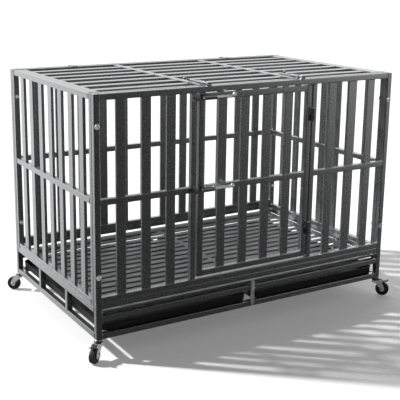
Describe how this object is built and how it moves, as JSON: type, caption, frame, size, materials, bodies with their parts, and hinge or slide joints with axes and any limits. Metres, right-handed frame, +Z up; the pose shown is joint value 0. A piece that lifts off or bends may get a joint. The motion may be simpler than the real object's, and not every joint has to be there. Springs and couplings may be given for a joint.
{
  "type": "heavy duty dog crate",
  "caption": "Welded steel tube dog crate on swivel casters, with a hinged slatted door, a hinged lid, slide bolts, a slotted floor and pull-out trays.",
  "frame": {"origin": "on the floor under the middle of the crate", "axes": "+X to the right along the front, +Y to the rear, +Z up"},
  "size_m": [1.2932, 0.809, 0.8927],
  "materials": {
    "coat": "dark silver hammertone powder coat",
    "floor_sheet": "dark silver powder coat on folded sheet, scuffed",
    "zinc": "bright zinc plate",
    "black_iron": "black coat, slightly worn",
    "lock_bar": "light grey coat",
    "tray_plastic": "black fine-grained plastic",
    "nylon": "black nylon",
    "fork_chrome": "bright plated pressed steel",
    "tyre_rubber": "black rubber tread"
  },
  "bodies": {
    "crate": {"base_posts": "coat", "base_bottom_rails": "coat", "base_mid_rails": "coat", "base_side_posts": "coat", "base_top_rails": "coat", "floor_panel": "floor_sheet", "front_frame": "coat", "front_slats": "coat", "rear_frame": "coat", "rear_slats": "coat", "left_frame": "coat", "left_slats": "coat", "right_frame": "coat", "right_slats": "coat", "corner_bolts": "zinc", "corner_nuts": "zinc", "door_hinge_fixed": "black_iron", "door_hinge_pins": "zinc", "door_keepers": "coat", "lid_hinge_fixed": "coat", "lid_hinge_pins": "zinc", "lid_keepers": "coat", "tray_lock_bolt": "zinc", "caster_inserts": "nylon", "caster_stems": "zinc", "caster_caps": "black_iron"},
    "door": {"door_frame": "coat", "door_slats": "coat", "door_hinge_leaves": "black_iron", "door_bolt_housings": "coat"},
    "lid": {"lid_frame": "coat", "lid_slats": "coat", "lid_hinge_leaves": "coat", "lid_bolt_housings": "coat"},
    "door_bolt_top": {"door_bolt_top": "zinc"},
    "door_bolt_mid": {"door_bolt_mid": "zinc"},
    "lid_bolt_left": {"lid_bolt_left": "coat"},
    "lid_bolt_right": {"lid_bolt_right": "coat"},
    "tray_left": {"tray_left": "tray_plastic"},
    "tray_right": {"tray_right": "tray_plastic"},
    "tray_lock": {"tray_lock_bar": "lock_bar"},
    "caster_fl": {"fork_fl": "fork_chrome", "axle_fl": "zinc"},
    "wheel_fl": {"hub_fl": "nylon", "tyre_fl": "tyre_rubber"},
    "caster_fr": {"fork_fr": "fork_chrome", "axle_fr": "zinc"},
    "wheel_fr": {"hub_fr": "nylon", "tyre_fr": "tyre_rubber"},
    "caster_rl": {"fork_rl": "fork_chrome", "axle_rl": "zinc"},
    "wheel_rl": {"hub_rl": "nylon", "tyre_rl": "tyre_rubber"},
    "caster_rr": {"fork_rr": "fork_chrome", "axle_rr": "zinc"},
    "wheel_rr": {"hub_rr": "nylon", "tyre_rr": "tyre_rubber"},
    "brake_fl": {"pedal_fl": "nylon"},
    "brake_fr": {"pedal_fr": "nylon"}
  },
  "joints": [
    {"name": "door_swing", "type": "hinge", "parent": "crate", "child": "door", "pos_m": [0.23625, -0.377, 0.516], "axis": [0, 0, 1], "range_deg": [0, 165]},
    {"name": "lid_swing", "type": "hinge", "parent": "crate", "child": "lid", "pos_m": [0, 0.377, 0.869], "axis": [-1, 0, 0], "range_deg": [0, 100]},
    {"name": "door_bolt_top_slide", "type": "slide", "parent": "door", "child": "door_bolt_top", "axis": [-1, 0, 0], "range_m": [0, 0.027]},
    {"name": "door_bolt_mid_slide", "type": "slide", "parent": "door", "child": "door_bolt_mid", "axis": [-1, 0, 0], "range_m": [0, 0.027]},
    {"name": "lid_bolt_left_slide", "type": "slide", "parent": "lid", "child": "lid_bolt_left", "axis": [0, -1, 0], "range_m": [0, 0.021]},
    {"name": "lid_bolt_right_slide", "type": "slide", "parent": "lid", "child": "lid_bolt_right", "axis": [0, -1, 0], "range_m": [0, 0.021]},
    {"name": "tray_left_slide", "type": "slide", "parent": "crate", "child": "tray_left", "axis": [0, -1, 0], "range_m": [0, 0.6]},
    {"name": "tray_right_slide", "type": "slide", "parent": "crate", "child": "tray_right", "axis": [0, -1, 0], "range_m": [0, 0.6]},
    {"name": "tray_lock_turn", "type": "hinge", "parent": "crate", "child": "tray_lock", "pos_m": [0, -0.373, 0.142], "axis": [0, 1, 0], "range_deg": [0, 90]},
    {"name": "swivel_fl", "type": "hinge", "parent": "crate", "child": "caster_fl", "pos_m": [-0.6, -0.36, 0.06], "axis": [0, 0, 1], "continuous": true},
    {"name": "roll_fl", "type": "hinge", "parent": "caster_fl", "child": "wheel_fl", "pos_m": [-0.62206, -0.37724, 0.026], "axis": [0.6157, -0.788, 0], "continuous": true},
    {"name": "brake_fl_press", "type": "hinge", "parent": "caster_fl", "child": "brake_fl", "pos_m": [-0.61576, -0.37231, 0.057], "axis": [0.6157, -0.788, 0], "range_deg": [0, 6]},
    {"name": "swivel_fr", "type": "hinge", "parent": "crate", "child": "caster_fr", "pos_m": [0.6, -0.36, 0.06], "axis": [0, 0, 1], "continuous": true},
    {"name": "roll_fr", "type": "hinge", "parent": "caster_fr", "child": "wheel_fr", "pos_m": [0.62048, -0.3791, 0.026], "axis": [0.682, 0.7314, 0], "continuous": true},
    {"name": "brake_fr_press", "type": "hinge", "parent": "caster_fr", "child": "brake_fr", "pos_m": [0.61463, -0.37364, 0.057], "axis": [0.682, 0.7314, 0], "range_deg": [0, 6]},
    {"name": "swivel_rl", "type": "hinge", "parent": "crate", "child": "caster_rl", "pos_m": [-0.6, 0.36, 0.06], "axis": [0, 0, 1], "continuous": true},
    {"name": "roll_rl", "type": "hinge", "parent": "caster_rl", "child": "wheel_rl", "pos_m": [-0.62048, 0.3791, 0.026], "axis": [-0.682, -0.7314, 0], "continuous": true},
    {"name": "swivel_rr", "type": "hinge", "parent": "crate", "child": "caster_rr", "pos_m": [0.6, 0.36, 0.06], "axis": [0, 0, 1], "continuous": true},
    {"name": "roll_rr", "type": "hinge", "parent": "caster_rr", "child": "wheel_rr", "pos_m": [0.62206, 0.37724, 0.026], "axis": [-0.6157, 0.788, 0], "continuous": true}
  ]
}
